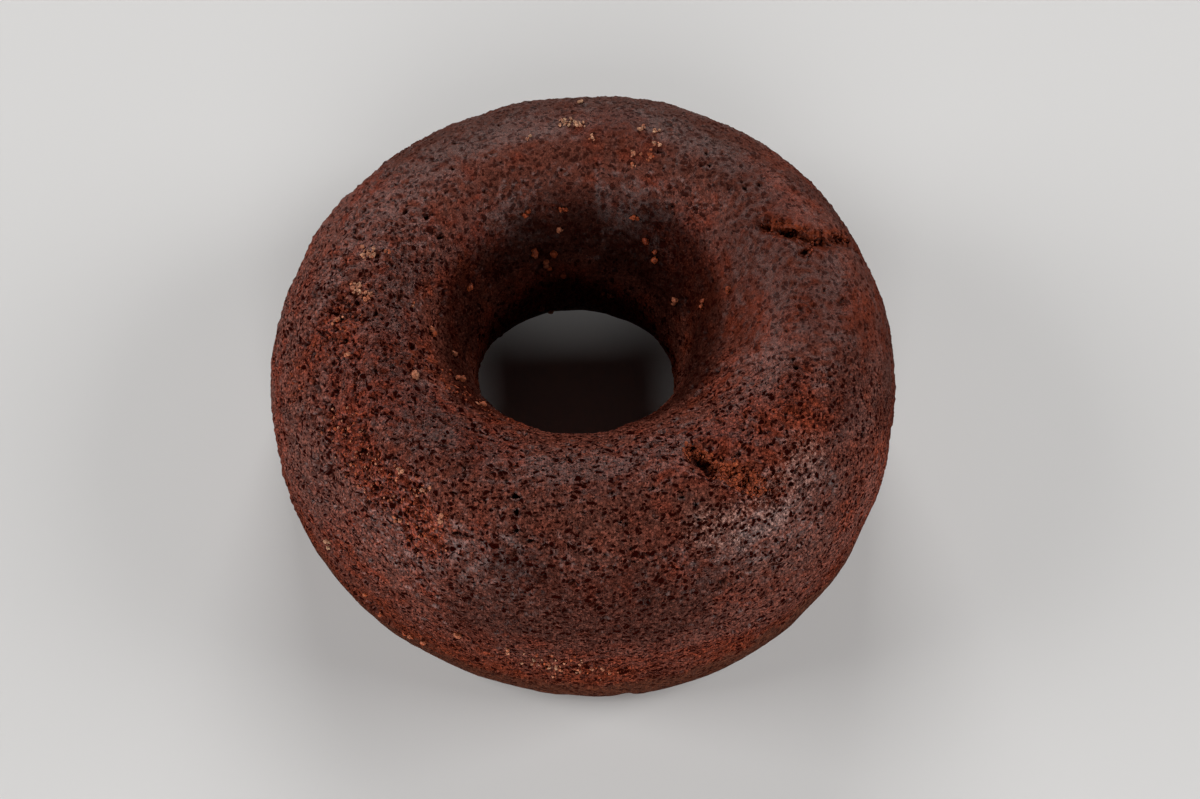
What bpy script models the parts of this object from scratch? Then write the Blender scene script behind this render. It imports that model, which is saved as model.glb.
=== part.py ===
"""A chocolate ring cake, turned out of its tin and standing on its wide base.

The cake is one solid: a turned profile, wider than it is tall, with a hole that opens like a
funnel at the top. It then gets the unevenness of a real one: it leans and is a little oval, its
hole sits off centre, its crust is lumpy, and a torn patch, a crack, two picked bands, a crease
and a crumbled foot are cut into it. Units are metres, +Z is up, and the origin is the middle of
the base.
"""
import math

import bmesh
import bpy
from mathutils import Vector, geometry, noise

# Driving sizes
OUTER_RADIUS = 0.110        # at the widest, a little above the base
CAKE_HEIGHT = 0.0845        # base to the ridge
WIDEST_HEIGHT = 0.0205      # height of the widest ring
RIDGE_RADIUS = 0.073        # the highest ring, between the outside and the hole
SHOULDER_POWER = 2.45       # how square the outer shoulder is; 2 would be an ellipse
HOLE_RADIUS = 0.0353        # at the narrowest
NECK_HEIGHT = 0.0277        # height of the narrowest ring
FUNNEL_POWER = 1.82         # shape of the slope from the ridge into the hole
FOOT_ROUNDING = 0.004       # rounding of the outer bottom edge
FOOT_TURN = math.radians(-17)   # where the rounding begins, as an angle below level
REST_OUTER = 0.1034         # the flat ring that the cake rests on
REST_INNER = 0.059
UNDERCUT_POWER = 1.5        # shape of the inside bottom edge, lifted clear of the surface

# Facets
RING_STEPS = 98
FACET = 0.0053              # wanted spacing along the profile
REST_RINGS = 2              # the flat ring needs only a few facets
FINE_POINTS = 60            # points of each curve before it is spaced evenly

# Unevenness of the whole cake
LEAN = 0.0044               # the ridge stands this far to +X of the base
TALLER_SIDE = 0.043         # share by which the +X side is taller
TALLER_FRONT = 0.011        # share by which the -Y side is taller
OVAL = ((2, -0.007, -0.021), (3, -0.005, -0.003))   # waves a turn, cosine share, sine share
HOLE_SHIFT = (-0.0014, 0.0034)

# Lumps of the crust: wavelength and depth
LUMPS = ((0.046, 0.0010), (0.019, 0.0006), (0.010, 0.0004))
FOOT_FADE = 0.006           # lumps fade out over this height above the base

# Damage to the crust. A line's points are an angle from +X in degrees, a radius and a height.
# Each hollow is cut along its line: half its width, its depth, the wavelength and depth of the
# crumb inside it, and the longest facet edge that is left under it.
HOLLOWS = {
    "torn patch": {
        "line": ((-60.5, 0.0755, 0.0868), (-56.5, 0.0830, 0.0874), (-53.2, 0.0925, 0.0850)),
        "half_width": 0.0058, "depth": 0.0022, "crumb": (0.0060, 0.0012), "longest": 0.0024},
    "torn patch, deep end": {
        "line": ((-62.2, 0.0755, 0.0870), (-60.8, 0.0812, 0.0869)),
        "half_width": 0.0026, "depth": 0.0020, "crumb": (0.0060, 0.0), "longest": 0.0024},
    "crack": {
        "line": ((21.2, 0.0681, 0.0852), (16.0, 0.0734, 0.0876), (13.6, 0.0771, 0.0880),
                 (11.2, 0.0806, 0.0878), (10.6, 0.0867, 0.0865), (12.0, 0.0933, 0.0821),
                 (12.8, 0.0997, 0.0736)),
        "half_width": 0.0021, "depth": 0.0026, "crumb": (0.0060, 0.0010), "longest": 0.0020},
    "crack, branch": {
        "line": ((12.3, 0.0769, 0.0880), (8.0, 0.0763, 0.0878)),
        "half_width": 0.0015, "depth": 0.0014, "crumb": (0.0060, 0.0), "longest": 0.0020},
    "picked band": {
        "line": ((-149.2, 0.0877, 0.0764), (-134.2, 0.0910, 0.0751), (-126.1, 0.0892, 0.0766),
                 (-119.9, 0.0961, 0.0703)),
        "half_width": 0.0070, "depth": 0.0007, "crumb": (0.0090, 0.0009), "longest": FACET},
    "picked band, left": {
        "line": ((-166.8, 0.0964, 0.0665), (-170.7, 0.0828, 0.0789), (177.6, 0.0719, 0.0798)),
        "half_width": 0.0080, "depth": 0.0005, "crumb": (0.0090, 0.0008), "longest": FACET},
    "crease": {
        "line": ((-99.0, 0.1089, 0.0303), (-91.0, 0.1103, 0.0300), (-82.6, 0.1110, 0.0291)),
        "half_width": 0.0016, "depth": 0.0012, "crumb": (0.0060, 0.0005), "longest": 0.0032},
    "nick": {
        "line": ((-83.4, 0.1090, 0.0010), (-83.2, 0.1110, 0.0060)),
        "half_width": 0.0022, "depth": 0.0024, "crumb": (0.0060, 0.0), "longest": 0.0024},
}
HOLLOW_RIM = 0.0012         # width of the sloping rim round a hollow
CRUMBLED_FOOT = (0.009, 0.0007)     # wavelength and depth of the broken bottom edge
CRUMBLED_HEIGHT = 0.010     # the bottom edge is broken up to here

CRUMB_BROWN = (0.075, 0.025, 0.017, 1.0)
CRUMB_ROUGHNESS = 0.75


def curve(start, end, power):
    """A quarter turn from start, which it leaves level, to end, which it meets upright."""
    points = []
    for step in range(FINE_POINTS + 1):
        angle = step / FINE_POINTS * math.pi / 2
        across = math.sin(angle) ** (2 / power)
        down = 1 - math.cos(angle) ** (2 / power)
        points.append((start[0] + (end[0] - start[0]) * across,
                       start[1] + (end[1] - start[1]) * down))
    return points


def foot():
    """The outer side from its widest ring down to the flat ring."""
    centre = (REST_OUTER, FOOT_ROUNDING)

    def rounding(angle):
        return (centre[0] + FOOT_ROUNDING * math.cos(angle),
                centre[1] + FOOT_ROUNDING * math.sin(angle))

    top = rounding(FOOT_TURN)
    points = []
    for step in range(FINE_POINTS + 1):
        share = step / FINE_POINTS
        points.append((OUTER_RADIUS - (OUTER_RADIUS - top[0]) * share ** 2,
                       WIDEST_HEIGHT + (top[1] - WIDEST_HEIGHT) * share))
    for step in range(1, FINE_POINTS + 1):
        points.append(rounding(FOOT_TURN + (-math.pi / 2 - FOOT_TURN) * step / FINE_POINTS))
    return points


def evenly_spaced(points, spacing):
    """The same line with its points spaced evenly, both ends kept."""
    lengths = [0.0]
    for before, after in zip(points, points[1:]):
        lengths.append(lengths[-1] + math.dist(before, after))
    count = max(1, round(lengths[-1] / spacing))
    spaced = []
    place = 0
    for step in range(count + 1):
        wanted = lengths[-1] * step / count
        while place < len(points) - 2 and lengths[place + 1] < wanted:
            place += 1
        share = (wanted - lengths[place]) / (lengths[place + 1] - lengths[place])
        spaced.append(tuple(a + (b - a) * min(share, 1.0)
                            for a, b in zip(points[place], points[place + 1])))
    return spaced


def cake_profile():
    """Half the cake's section as one loop: down the outside, in along the base, up the hole."""
    ridge = (RIDGE_RADIUS, CAKE_HEIGHT)
    widest = (OUTER_RADIUS, WIDEST_HEIGHT)
    neck = (HOLE_RADIUS, NECK_HEIGHT)
    outside = evenly_spaced(curve(ridge, widest, SHOULDER_POWER) + foot()[1:], FACET)
    rest = [(REST_OUTER + (REST_INNER - REST_OUTER) * step / REST_RINGS, 0.0)
            for step in range(1, REST_RINGS)]
    undercut = curve((REST_INNER, 0.0), neck, UNDERCUT_POWER)
    funnel = curve(ridge, neck, FUNNEL_POWER)[::-1]
    inside = evenly_spaced(undercut + funnel[1:], FACET)
    return outside + rest + inside[:-1]


def turned_cake():
    """The profile turned once round +Z by a Screw modifier, as a mesh."""
    profile = cake_profile()
    edges = [(i, (i + 1) % len(profile)) for i in range(len(profile))]
    outline = bpy.data.meshes.new("profile")
    outline.from_pydata([(r, 0.0, z) for r, z in profile], edges, [])
    turned = bpy.data.objects.new("profile", outline)
    bpy.context.scene.collection.objects.link(turned)
    screw = turned.modifiers.new("turn", "SCREW")
    screw.axis = "Z"
    screw.steps = screw.render_steps = RING_STEPS
    screw.use_merge_vertices = True
    screw.merge_threshold = 0.00001
    graph = bpy.context.evaluated_depsgraph_get()
    mesh = bpy.data.meshes.new_from_object(turned.evaluated_get(graph))
    bpy.data.objects.remove(turned)
    bpy.data.meshes.remove(outline)
    return mesh


def smooth_share(value, low, high):
    """0 below low, 1 above high, and a smooth step between them."""
    share = min(max((value - low) / (high - low), 0.0), 1.0)
    return share * share * (3 - 2 * share)


def uneven(point):
    """Where a point of the even, turned cake lies on the real, lopsided one."""
    x, y, z = point
    radius = math.hypot(x, y)
    angle = math.atan2(y, x)
    inward = 1 - smooth_share(radius, HOLE_RADIUS, RIDGE_RADIUS)
    outward = smooth_share(radius, 2 * RIDGE_RADIUS - OUTER_RADIUS, OUTER_RADIUS)
    oval = 1.0
    for waves, cosine, sine in OVAL:
        oval += outward * (cosine * math.cos(waves * angle) + sine * math.sin(waves * angle))
    tall = 1 + TALLER_SIDE * math.cos(angle) - TALLER_FRONT * math.sin(angle)
    return Vector((x * oval + LEAN * z / CAKE_HEIGHT + HOLE_SHIFT[0] * inward,
                   y * oval + HOLE_SHIFT[1] * inward,
                   z * tall))


def ripple(point, wavelength, seed):
    """A smooth, uneven value from about -1 to 1 that repeats roughly at the wavelength."""
    return noise.noise(point * (2 / wavelength) + Vector((seed * 3.7, 1.3, -2.1)))


def move_along_normals(cake, distance):
    """Move each point by distance(its place), outward where it is above zero."""
    cake.normal_update()
    moves = [(vert, vert.normal * distance(vert.co)) for vert in cake.verts]
    for vert, move in moves:
        vert.co += move


def lump(point):
    """How far the crust stands out at a point; the flat ring stays flat."""
    depth = sum(reach * ripple(point, wavelength, number)
                for number, (wavelength, reach) in enumerate(LUMPS))
    return depth * smooth_share(point.z, 0.0, FOOT_FADE)


def place(angle, radius, height):
    turn = math.radians(angle)
    return Vector((radius * math.cos(turn), radius * math.sin(turn), height))


def distance_to_line(point, line):
    """The shortest way from a point to a line of places."""
    shortest = math.inf
    for start, end in zip(line, line[1:]):
        nearest, share = geometry.intersect_point_line(point, start, end)
        if share < 0:
            nearest = start
        elif share > 1:
            nearest = end
        shortest = min(shortest, (point - nearest).length)
    return shortest


def refine(cake, hollow):
    """Halve the long edges of the facets under a hollow, twice at most."""
    line = [place(*spot) for spot in hollow["line"]]
    reach = hollow["half_width"] + 2 * HOLLOW_RIM
    for _ in range(2):
        near = [face for face in cake.faces
                if distance_to_line(face.calc_center_median(), line) < reach]
        coarse = {edge for face in near for edge in face.edges
                  if edge.calc_length() > hollow["longest"]}
        bmesh.ops.subdivide_edges(cake, edges=list(coarse), cuts=1)
        bmesh.ops.triangulate(cake, faces=cake.faces)


def cut_hollow(cake, hollow):
    """Sink the crust along a hollow's line, with a ragged rim and rough crumb inside."""
    line = [place(*spot) for spot in hollow["line"]]
    wavelength, roughness = hollow["crumb"]

    def distance(point):
        away = distance_to_line(point, line) + HOLLOW_RIM * ripple(point, wavelength, 5)
        inside = 1 - smooth_share(away, hollow["half_width"] - HOLLOW_RIM,
                                  hollow["half_width"] + HOLLOW_RIM)
        inside *= smooth_share(point.z, 0.0, HOLLOW_RIM)
        return -inside * (hollow["depth"] + roughness * ripple(point, wavelength, 9))

    move_along_normals(cake, distance)


def crumble_foot(cake):
    """Break the bottom edge a little in and out all the way round."""
    wavelength, depth = CRUMBLED_FOOT

    def distance(point):
        height = smooth_share(point.z, 0.0, FOOT_ROUNDING / 4)
        height *= 1 - smooth_share(point.z, FOOT_ROUNDING, CRUMBLED_HEIGHT)
        outside = smooth_share(point.xy.length, RIDGE_RADIUS, REST_OUTER)
        return outside * height * depth * ripple(point, wavelength, 7)

    move_along_normals(cake, distance)


def centre_on_origin(cake):
    """Put the middle of the cake's box over the origin, its base on z = 0."""
    low = Vector([min(vert.co[axis] for vert in cake.verts) for axis in range(3)])
    high = Vector([max(vert.co[axis] for vert in cake.verts) for axis in range(3)])
    shift = Vector((-(low.x + high.x) / 2, -(low.y + high.y) / 2, -low.z))
    bmesh.ops.translate(cake, verts=cake.verts, vec=shift)


def crumb_material():
    material = bpy.data.materials.new("chocolate_crumb")
    material.use_nodes = True
    shader = material.node_tree.nodes["Principled BSDF"]
    shader.inputs["Base Color"].default_value = CRUMB_BROWN
    shader.inputs["Roughness"].default_value = CRUMB_ROUGHNESS
    shader.inputs["Metallic"].default_value = 0.0
    return material


def make_ring_cake(collection):
    mesh = turned_cake()
    cake = bmesh.new()
    cake.from_mesh(mesh)
    for vert in cake.verts:
        vert.co = uneven(vert.co)
    bmesh.ops.recalc_face_normals(cake, faces=cake.faces)
    move_along_normals(cake, lump)
    centre_on_origin(cake)
    bmesh.ops.triangulate(cake, faces=cake.faces)
    for hollow in HOLLOWS.values():
        refine(cake, hollow)
    for hollow in HOLLOWS.values():
        cut_hollow(cake, hollow)
    crumble_foot(cake)
    centre_on_origin(cake)
    cake.to_mesh(mesh)
    cake.free()
    mesh.name = "ring_cake"
    mesh.shade_smooth()
    mesh.materials.append(crumb_material())
    ring_cake = bpy.data.objects.new("ring_cake", mesh)
    collection.objects.link(ring_cake)
    return ring_cake


def main():
    for old in list(bpy.data.objects):
        bpy.data.objects.remove(old)
    collection = bpy.data.collections.new("chocolate_ring_cake")
    bpy.context.scene.collection.children.link(collection)
    make_ring_cake(collection)


main()
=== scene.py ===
import math

import bmesh
import bpy
import numpy as np
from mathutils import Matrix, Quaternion, Vector, noise


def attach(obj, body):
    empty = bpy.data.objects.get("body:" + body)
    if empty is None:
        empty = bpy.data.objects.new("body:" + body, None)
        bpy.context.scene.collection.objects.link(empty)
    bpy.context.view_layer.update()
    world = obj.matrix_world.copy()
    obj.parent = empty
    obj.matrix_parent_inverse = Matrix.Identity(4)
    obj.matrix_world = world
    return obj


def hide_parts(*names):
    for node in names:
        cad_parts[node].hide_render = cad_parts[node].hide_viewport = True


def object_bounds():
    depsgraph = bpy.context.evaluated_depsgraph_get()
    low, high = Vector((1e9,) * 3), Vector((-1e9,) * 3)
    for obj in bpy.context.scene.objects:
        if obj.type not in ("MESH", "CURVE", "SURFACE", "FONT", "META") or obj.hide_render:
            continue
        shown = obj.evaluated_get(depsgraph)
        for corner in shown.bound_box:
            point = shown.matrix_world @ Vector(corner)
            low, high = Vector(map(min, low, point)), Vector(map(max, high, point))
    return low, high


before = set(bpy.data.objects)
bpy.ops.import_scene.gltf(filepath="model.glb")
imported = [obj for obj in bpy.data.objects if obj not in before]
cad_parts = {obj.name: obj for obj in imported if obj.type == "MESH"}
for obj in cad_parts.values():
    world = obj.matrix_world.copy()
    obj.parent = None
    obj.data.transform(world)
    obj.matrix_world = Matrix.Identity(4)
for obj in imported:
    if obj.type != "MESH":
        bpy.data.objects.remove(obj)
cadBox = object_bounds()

photo = {
    "lens": 45.0,               # mm, with the sensor's width below
    "sensor": 36.0,
    "nearest": 0.01,            # nothing nearer than this is drawn
    "distance": 0.5621,         # metres from the point below
    "elevation": 58.16,         # degrees above the horizon
    "stand": (-0.0008, -0.0003, 0.0),   # the camera is in front of and above this point
    "target": (0.0082, 0.0115, 0.0),    # the middle of the picture
    "roll": -0.19,
}

studio = {
    "floorColor": (0.70, 0.69, 0.68, 1.0),
    "floorRadius": 0.80,
    "floorRoughness": 0.9,
    "floorSides": 180,
    "floorLamps": {             # a ring of lamps that light the floor alone
        "count": 4, "height": 30, "distance": 2.0, "size": 1.0, "watts": 20,
    },
    "world": 0.01,              # the room's own light, next to nothing
    "backdrop": 0.70,           # how pale the room looks past the floor
    "lampDistance": 1.0,
    "lampSize": 0.5,
    "lamps": {                  # turn from the camera's side, height in degrees, watts
        "frontLeft": (-45, 15, 8.6),
        "frontRight": (45, 15, 7.5),
        "left": (-90, 15, 2.2),
        "right": (90, 15, 1.6),
        "backLeft": (-135, 38, 4.2),
        "backRight": (135, 38, 4.0),
        "back": (180, 38, 3.4),
    },
}


# camera, floor and lamps

def addCamera():
    cameraData = bpy.data.cameras.new("photoCamera")
    cameraData.lens = photo["lens"]
    cameraData.sensor_width = photo["sensor"]
    cameraData.clip_start = photo["nearest"]
    camera = bpy.data.objects.new("photoCamera", cameraData)
    bpy.context.scene.collection.objects.link(camera)
    lift = math.radians(photo["elevation"])
    back = Vector((0.0, -math.cos(lift), math.sin(lift))) * photo["distance"]
    camera.location = Vector(photo["stand"]) + back
    aim = (Vector(photo["target"]) - camera.location).to_track_quat("-Z", "Y")
    camera.rotation_mode = "QUATERNION"
    camera.rotation_quaternion = aim @ Quaternion((0, 0, 1), math.radians(photo["roll"]))
    bpy.context.scene.camera = camera


def addLamp(name, turn, height, distance, size, power, lit):
    turn, height = math.radians(turn), math.radians(height)
    side = math.cos(height)
    place = distance * Vector((side * math.sin(turn), -side * math.cos(turn), math.sin(height)))
    light = bpy.data.lights.new(name, "AREA")
    light.size = size
    light.energy = power
    holder = bpy.data.objects.new(name, light)
    bpy.context.scene.collection.objects.link(holder)
    holder.location = place
    holder.rotation_mode = "QUATERNION"
    holder.rotation_quaternion = (-place).to_track_quat("-Z", "Y")
    holder.visible_camera = False
    holder.light_linking.receiver_collection = lit


def onlyFloor(name, floor, state):
    # the things that a lamp lights: the floor alone, or all but the floor
    lit = bpy.data.collections.new(name)
    lit.objects.link(floor)
    lit.collection_objects[0].light_linking.link_state = state
    return lit


def newMaterial(name):
    material = bpy.data.materials.new(name)
    material.use_nodes = True
    return material, material.node_tree.nodes["Principled BSDF"]


def addFloor():
    bm = bmesh.new()
    bmesh.ops.create_circle(bm, cap_ends=True, segments=studio["floorSides"],
                            radius=studio["floorRadius"])
    bmesh.ops.translate(bm, verts=bm.verts, vec=(0, 0, cadBox[0].z))
    floorMesh = bpy.data.meshes.new("floor")
    bm.to_mesh(floorMesh)
    bm.free()
    floor = bpy.data.objects.new("floor", floorMesh)
    bpy.context.scene.collection.objects.link(floor)
    paper, shader = newMaterial("paleFloor")
    shader.inputs["Base Color"].default_value = studio["floorColor"]
    shader.inputs["Roughness"].default_value = studio["floorRoughness"]
    floorMesh.materials.append(paper)
    return floor


def addStudio():
    floor = addFloor()
    ring = studio["floorLamps"]
    floorAlone = onlyFloor("floorAlone", floor, "INCLUDE")
    for number in range(ring["count"]):
        addLamp("floorLamp%d" % number, 360 * number / ring["count"], ring["height"], ring["distance"],
                ring["size"], ring["watts"], floorAlone)
    allButFloor = onlyFloor("allButFloor", floor, "EXCLUDE")
    for name, (turn, height, power) in studio["lamps"].items():
        addLamp(name, turn, height, studio["lampDistance"], studio["lampSize"], power, allButFloor)
    world = bpy.data.worlds.new("softRoom")
    world.use_nodes = True
    sky = world.node_tree.nodes["Background"]
    seen = world.node_tree.nodes.new("ShaderNodeLightPath").outputs["Is Camera Ray"]
    strength = world.node_tree.nodes.new("ShaderNodeMapRange")
    world.node_tree.links.new(seen, strength.inputs["Value"])
    strength.inputs["To Min"].default_value = studio["world"]
    strength.inputs["To Max"].default_value = studio["backdrop"]
    world.node_tree.links.new(strength.outputs[0], sky.inputs["Strength"])
    sky.inputs["Color"].default_value = (1.0, 1.0, 1.0, 1.0)
    bpy.context.scene.world = world
    bpy.context.scene.view_settings.view_transform = "Standard"


addCamera()
addStudio()
print("studio ready")


# small helpers for node trees

plainNoise, softNoise, richNoise = 1.0, 2.0, 3.0    # layers of finer noise in a cloud
noiseMiddle = 0.5       # a cloud's values lie round this, mostly less than a quarter from it


def put(tree, socket, value):
    if isinstance(value, bpy.types.NodeSocket):
        tree.links.new(value, socket)
    else:
        socket.default_value = value


def maths(tree, operation, *values):
    node = tree.nodes.new("ShaderNodeMath")
    node.operation = operation
    for socket, value in zip(node.inputs, values):
        put(tree, socket, value)
    return node.outputs[0]


def plus(tree, *values):
    return maths(tree, "ADD", *values)


def minus(tree, *values):
    return maths(tree, "SUBTRACT", *values)


def times(tree, *values):
    return maths(tree, "MULTIPLY", *values)


def most(tree, *values):
    return maths(tree, "MAXIMUM", *values)


def between(tree, share, low, high):
    # low where the share is 0, and high where it is 1
    return maths(tree, "MULTIPLY_ADD", share, high - low, low)


def vectorMaths(tree, operation, *values):
    node = tree.nodes.new("ShaderNodeVectorMath")
    node.operation = operation
    for socket, value in zip(node.inputs, values):
        put(tree, socket, value)
    return node.outputs[0]


def scaled(tree, vector, factor):
    node = tree.nodes.new("ShaderNodeVectorMath")
    node.operation = "SCALE"
    put(tree, node.inputs[0], vector)
    put(tree, node.inputs["Scale"], factor)
    return node.outputs[0]


def ramped(tree, value, low, high, toLow=0.0, toHigh=1.0):
    node = tree.nodes.new("ShaderNodeMapRange")
    node.interpolation_type = "SMOOTHSTEP"
    put(tree, node.inputs["Value"], value)
    for name, number in (("From Min", low), ("From Max", high), ("To Min", toLow), ("To Max", toHigh)):
        put(tree, node.inputs[name], number)
    return node.outputs[0]


def parts(tree, vector):
    node = tree.nodes.new("ShaderNodeSeparateXYZ")
    put(tree, node.inputs[0], vector)
    return node.outputs


def cells(tree, place, size, along=None):
    # distance to the middle of the nearest cell, and a random colour for each cell
    node = tree.nodes.new("ShaderNodeTexVoronoi")
    put(tree, node.inputs["Vector"], place)
    if along is not None:
        node.voronoi_dimensions = "4D"
        put(tree, node.inputs["W"], along)
    node.inputs["Scale"].default_value = 1.0 / size
    return node.outputs["Distance"], node.outputs["Color"]


def cloud(tree, place, size, detail=softNoise, along=None):
    # soft noise from 0 to 1, alone and as three values
    node = tree.nodes.new("ShaderNodeTexNoise")
    put(tree, node.inputs["Vector"], place)
    if along is not None:
        node.noise_dimensions = "4D"
        put(tree, node.inputs["W"], along)
    node.inputs["Scale"].default_value = 1.0 / size
    node.inputs["Detail"].default_value = detail
    return node.outputs[0], node.outputs[1]


def centred(tree, noiseValue, reach):
    # soft noise turned into values on both sides of zero, mostly within the reach
    return times(tree, minus(tree, noiseValue, noiseMiddle), 4 * reach)


def warped(tree, place, moved, warp, detail):
    # moves places a little, by soft noise
    noisy = cloud(tree, place, warp["size"], detail)[1]
    drift = vectorMaths(tree, "SUBTRACT", noisy, (noiseMiddle,) * 3)
    return vectorMaths(tree, "ADD", moved, scaled(tree, drift, 2 * warp["reach"]))


def blended(tree, factor, low, high):
    # a mix of two colours, each a socket or three numbers
    node = tree.nodes.new("ShaderNodeMix")
    node.data_type = "RGBA"
    sockets = {socket.name: socket for socket in node.inputs if socket.enabled}
    put(tree, sockets["Factor"], factor)
    for name, value in (("A", low), ("B", high)):
        put(tree, sockets[name], value if isinstance(value, bpy.types.NodeSocket) else (*value, 1.0))
    return [socket for socket in node.outputs if socket.enabled][0]


def readNamed(tree, name):
    node = tree.nodes.new("GeometryNodeInputNamedAttribute")
    node.data_type = "FLOAT"
    node.inputs["Name"].default_value = name
    return node.outputs["Attribute"]


def startGeometry(name):
    tree = bpy.data.node_groups.new(name, "GeometryNodeTree")
    tree.interface.new_socket("Geometry", in_out="INPUT", socket_type="NodeSocketGeometry")
    tree.interface.new_socket("Geometry", in_out="OUTPUT", socket_type="NodeSocketGeometry")
    return tree, tree.nodes.new("NodeGroupInput").outputs[0]


def endGeometry(tree, carried, offset):
    # the last step of a tree: each point moves by the offset
    move = tree.nodes.new("GeometryNodeSetPosition")
    put(tree, move.inputs["Geometry"], carried)
    put(tree, move.inputs["Offset"], offset)
    put(tree, tree.nodes.new("NodeGroupOutput").inputs[0], move.outputs[0])


# where the crust is torn or picked: angle from +X in degrees, radius, height

crackLine = ((20.3, 0.0700, 0.0834), (17.0, 0.0730, 0.0853), (14.4, 0.0777, 0.0865),
             (12.4, 0.0800, 0.0853), (12.0, 0.0840, 0.0860), (12.6, 0.0900, 0.0829),
             (13.9, 0.0966, 0.0773))
branchLine = ((12.0, 0.0827, 0.0852), (9.4, 0.0792, 0.0874), (8.2, 0.0758, 0.0865))

marks = {
    # bare and warm: how much so the crumb is, 0 to 1; grains: how many stand there; tone: how pale
    "tornTip": {"line": ((-61.8, 0.0715, 0.0849), (-59.9, 0.0765, 0.0843)),
                "halfWidth": 0.0026, "bare": 1.0, "warm": 1.0, "grains": 90, "tone": (0.30, 0.66)},
    "tornPatch": {"line": ((-58.6, 0.0815, 0.0845), (-56.7, 0.0865, 0.0841), (-54.6, 0.0910, 0.0820)),
                  "halfWidth": 0.0044, "bare": 1.0, "warm": 1.0, "grains": 260, "tone": (0.30, 0.64)},
    "crack": {"line": crackLine,
              "halfWidth": 0.0036, "bare": 0.8, "warm": 0.8, "grains": 90, "tone": (0.10, 0.45)},
    "crackBranch": {"line": branchLine,
                    "halfWidth": 0.0018, "bare": 0.5, "warm": 0.5, "grains": 20, "tone": (0.05, 0.40)},
    "pickedBand": {"line": ((-149.2, 0.0877, 0.0764), (-134.2, 0.0910, 0.0751),
                            (-126.1, 0.0892, 0.0766), (-119.9, 0.0961, 0.0703)),
                   "halfWidth": 0.0080, "bare": 0.75, "warm": 0.05, "grains": 300, "tone": (0.10, 0.82)},
    "pickedLeft": {"line": ((-166.8, 0.0964, 0.0665), (-170.7, 0.0828, 0.0789), (177.6, 0.0719, 0.0798)),
                   "halfWidth": 0.0085, "bare": 0.5, "warm": 0.15, "grains": 150, "tone": (0.05, 0.55)},
    "holeRim": {"line": ((-160.0, 0.0520, 0.0730), (-140.0, 0.0480, 0.0700), (-118.0, 0.0450, 0.0690)),
                "halfWidth": 0.0080, "bare": 0.35, "warm": 0.35, "grains": 110, "tone": (0.10, 0.60)},
}

markEdge = (0.55, 1.25)     # a mark fades between these parts of its half width

grooves = {
    "crackSlit": {"line": crackLine, "halfWidth": 0.0011, "depth": 0.0024, "wander": 0.0011},
    "branchSlit": {"line": branchLine, "halfWidth": 0.0009, "depth": 0.0014, "wander": 0.0008},
    "patchRecess": {"line": ((-63.2, 0.0725, 0.0845), (-61.5, 0.0765, 0.0840), (-60.8, 0.0805, 0.0836)),
                    "halfWidth": 0.0015, "depth": 0.0024, "wander": 0.0010},
    "creaseSlit": {"line": ((-98.5, 0.1088, 0.0290), (-95.0, 0.1092, 0.0296), (-92.6, 0.1098, 0.0319),
                            (-87.7, 0.1104, 0.0329)),
                   "halfWidth": 0.0010, "depth": 0.0022, "wander": 0.0008},
}

carving = {
    "ripple": 0.003,            # size of the wander of a groove's edges
    "floor": 0.2,               # the part of its width that is as deep as it gets
    "breaks": {"size": 0.0045, "where": (-0.25, 0.10), "depth": 0.35, "seed": 9},   # shallow stretches
}

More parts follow.
